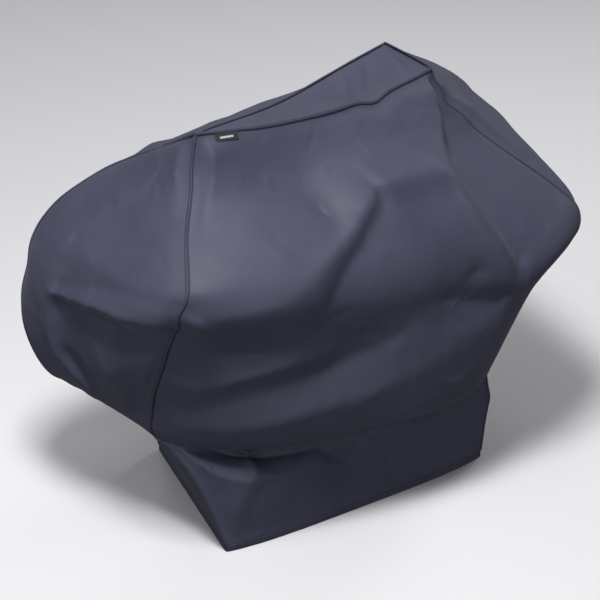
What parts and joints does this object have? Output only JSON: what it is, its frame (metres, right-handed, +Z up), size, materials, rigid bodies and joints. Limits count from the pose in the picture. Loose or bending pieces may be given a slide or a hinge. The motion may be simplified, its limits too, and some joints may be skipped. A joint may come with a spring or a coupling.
{
  "type": "grill cover",
  "caption": "Soft fitted cover for a cart grill: a narrow top, sides that drape out over the lid and shelves, a loose overhang and a tucked-in skirt with a hem.",
  "frame": {"origin": "centre of the overall box, on the level that the hem stands on", "axes": "+X from the left end to the right end of the cover as seen from the front, -Y towards the front, +Z up"},
  "size_m": [1.3574, 0.7631, 1.117],
  "materials": {
    "cloth": "coated woven polyester, satin",
    "seam_fold": "the same cloth, folded and sewn",
    "webbing": "woven polypropylene webbing",
    "hook_tape": "hook tape",
    "loop_tape": "loop tape, napped",
    "thread": "bonded polyester thread",
    "woven_label": "plain damask woven label, blank"
  },
  "bodies": {
    "root": {"top_panel": "cloth", "front_panel": "cloth", "right_panel": "cloth", "back_panel": "cloth", "left_panel": "cloth", "top_front_seam": "seam_fold", "top_right_seam": "seam_fold", "top_back_seam": "seam_fold", "top_left_seam": "seam_fold", "front_left_seam": "seam_fold", "front_right_seam": "seam_fold", "back_right_seam": "seam_fold", "back_left_seam": "seam_fold", "front_hem": "seam_fold", "right_hem": "seam_fold", "back_hem": "seam_fold", "left_hem": "seam_fold", "left_strap_webbing": "webbing", "left_strap_stitching": "thread", "middle_strap_webbing": "webbing", "middle_strap_stitching": "thread"},
    "left_strap": {"left_strap_tail": "webbing", "left_strap_hook_patch": "hook_tape", "left_strap_loop_patch": "loop_tape"},
    "middle_strap": {"middle_strap_tail": "webbing", "middle_strap_hook_patch": "hook_tape", "middle_strap_loop_patch": "loop_tape"},
    "label_flap": {"label": "woven_label", "label_stitching": "thread"}
  },
  "joints": [
    {"name": "left_strap_swing", "type": "hinge", "parent": "root", "child": "left_strap", "pos_m": [-0.45356, -0.09667, 0.295], "axis": [0.7381, -0.304, 0.6023], "range_deg": [0, 100]},
    {"name": "middle_strap_swing", "type": "hinge", "parent": "root", "child": "middle_strap", "pos_m": [-0.00194, -0.19637, 0.258], "axis": [0.8813, -0.139, 0.4516], "range_deg": [0, 100]},
    {"name": "label_lift", "type": "hinge", "parent": "root", "child": "label_flap", "pos_m": [-0.27864, -0.04692, 1.10708], "axis": [-0.9788, 0.205, 0], "range_deg": [0, 110]}
  ]
}
